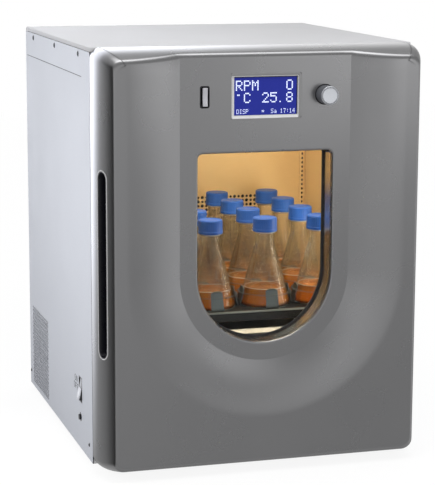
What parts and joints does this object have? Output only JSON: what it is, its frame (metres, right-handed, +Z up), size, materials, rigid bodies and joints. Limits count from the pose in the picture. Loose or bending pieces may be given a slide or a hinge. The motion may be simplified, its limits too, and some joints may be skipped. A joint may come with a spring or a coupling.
{
  "type": "incubated benchtop shaker",
  "caption": "Heated benchtop cabinet whose windowed front door carries the controls; inside, flasks stand on a platform that cranks drive round a small circle.",
  "frame": {"origin": "on the surface that the feet stand on, under the middle of the width and of the depth from knob to rear panel", "axes": "+Z up, the front with the door looks along -Y, +X is to the right of someone facing the front"},
  "size_m": [0.6562, 0.763, 0.826],
  "materials": {
    "cabinet_paint": "satin silver-blue paint on sheet steel",
    "cover_paint": "satin light grey paint",
    "door_paint": "satin metallic grey paint on a moulding",
    "trim_grey": "light grey moulded plastic",
    "trim_dark": "black moulded plastic",
    "knob_silver": "silver paint on a turned knob",
    "display_blue": "blue display behind a clear front",
    "board_green": "solder resist on a circuit board",
    "clear_glass": "clear window and laboratory glass",
    "cap_blue": "blue moulded screw cap",
    "medium_orange": "clear orange culture medium",
    "liner_steel": "stainless liner in warm light",
    "plain_steel": "brushed stainless steel",
    "zinc_steel": "zinc-plated sheet steel",
    "dark_screw": "blackened screw",
    "drive_iron": "painted iron casting",
    "drive_aluminium": "machined aluminium",
    "platform_paint": "dark coated platform",
    "black_rubber": "black rubber",
    "insulation": "fibre insulation slab",
    "lamp_white": "white lamp housing",
    "heater_steel": "heat-tinted tubular element"
  },
  "bodies": {
    "cabinet": {"base_pan": "zinc_steel", "feet": "black_rubber", "left_side_panel": "cabinet_paint", "right_side_panel": "cabinet_paint", "top_cover": "cover_paint", "rear_panel": "cabinet_paint", "front_frame": "plain_steel", "panel_screws": "dark_screw", "hinge_brackets": "zinc_steel", "chamber_floor": "plain_steel", "chamber_side_walls": "liner_steel", "chamber_ceiling": "liner_steel", "chamber_rear_wall": "liner_steel", "insulation": "insulation", "heater_element": "heater_steel", "blower_motor": "drive_iron", "chamber_lamp": "lamp_white", "drive_plate": "drive_iron", "drive_mounts": "black_rubber", "bearing_housings": "drive_iron", "shaft_bearings": "plain_steel", "drive_motor": "drive_iron", "drive_belt": "black_rubber", "power_inlet": "trim_dark", "power_supply": "zinc_steel", "power_switch_housing": "trim_dark", "breaker_body": "trim_dark"},
    "door": {"door_shell": "door_paint", "door_core": "insulation", "door_liner": "plain_steel", "window_frame": "trim_grey", "window_panes": "clear_glass", "window_gasket": "black_rubber", "door_seal": "black_rubber", "handle_cup": "trim_dark", "hinge_pins": "zinc_steel", "display_bezel": "trim_grey", "lcd_panel": "display_blue", "control_board": "board_green", "start_stop_housing": "trim_dark"},
    "encoder": {"encoder_shaft": "plain_steel"},
    "knob": {"control_knob": "knob_silver"},
    "start_stop": {"start_stop_rocker": "trim_grey"},
    "power_switch": {"power_rocker": "knob_silver"},
    "breaker_button": {"reset_button": "trim_grey"},
    "main_crank": {"main_crankshaft": "plain_steel", "main_pulley": "drive_aluminium", "main_counterweight": "drive_iron"},
    "idler_left": {"idler_crank_left": "plain_steel"},
    "idler_right": {"idler_crank_right": "plain_steel"},
    "motor_rotor": {"motor_pulley": "drive_aluminium"},
    "blower_rotor": {"blower_wheel": "drive_aluminium"},
    "platform": {"subplatform": "drive_aluminium", "platform_bearings": "plain_steel", "platform": "platform_paint", "platform_screws": "plain_steel", "flask_clamps": "plain_steel", "flasks": "clear_glass", "flask_caps": "cap_blue", "culture_medium": "medium_orange"}
  },
  "joints": [
    {"name": "door_hinge", "type": "hinge", "parent": "cabinet", "child": "door", "pos_m": [0.315, -0.2865, 0.42], "axis": [0, 0, 1], "range_deg": [0, 105]},
    {"name": "encoder_turn", "type": "hinge", "parent": "door", "child": "encoder", "pos_m": [0.1175, -0.3515, 0.735], "axis": [0, 1, 0], "continuous": true},
    {"name": "knob_press", "type": "slide", "parent": "encoder", "child": "knob", "axis": [0, 1, 0], "range_m": [0, 0.0015], "stiffness_N_per_m": 800, "springref_m": -0.0015},
    {"name": "start_stop_tilt", "type": "hinge", "parent": "door", "child": "start_stop", "pos_m": [-0.1215, -0.3455, 0.735], "axis": [1, 0, 0], "range_deg": [-6, 6], "stiffness_Nm_per_rad": 0.3},
    {"name": "power_tilt", "type": "hinge", "parent": "cabinet", "child": "power_switch", "pos_m": [-0.316, -0.164, 0.136], "axis": [0, 1, 0], "range_deg": [-18, 0]},
    {"name": "reset_press", "type": "slide", "parent": "cabinet", "child": "breaker_button", "axis": [1, 0, 0], "range_m": [0, 0.003], "stiffness_N_per_m": 500, "springref_m": -0.002},
    {"name": "main_spin", "type": "hinge", "parent": "cabinet", "child": "main_crank", "pos_m": [0, 0.0992, 0.134], "axis": [0, 0, 1], "continuous": true},
    {"name": "platform_orbit", "type": "hinge", "parent": "main_crank", "child": "platform", "pos_m": [0, 0.1119, 0.276], "axis": [0, 0, 1], "continuous": true},
    {"name": "idler_left_spin", "type": "hinge", "parent": "cabinet", "child": "idler_left", "pos_m": [-0.12, -0.0908, 0.134], "axis": [0, 0, 1], "continuous": true},
    {"name": "idler_right_spin", "type": "hinge", "parent": "cabinet", "child": "idler_right", "pos_m": [0.12, -0.0908, 0.134], "axis": [0, 0, 1], "continuous": true},
    {"name": "motor_spin", "type": "hinge", "parent": "cabinet", "child": "motor_rotor", "pos_m": [-0.15, 0.1962, 0.074], "axis": [0, 0, 1], "continuous": true},
    {"name": "blower_spin", "type": "hinge", "parent": "cabinet", "child": "blower_rotor", "pos_m": [0, 0.2965, 0.394], "axis": [0, 1, 0], "continuous": true}
  ],
  "couplings": [
    {"joint": "platform_orbit", "follows": "main_spin", "ratio": -1},
    {"joint": "idler_left_spin", "follows": "main_spin", "ratio": 1},
    {"joint": "idler_right_spin", "follows": "main_spin", "ratio": 1},
    {"joint": "motor_spin", "follows": "main_spin", "ratio": 3.6364}
  ]
}
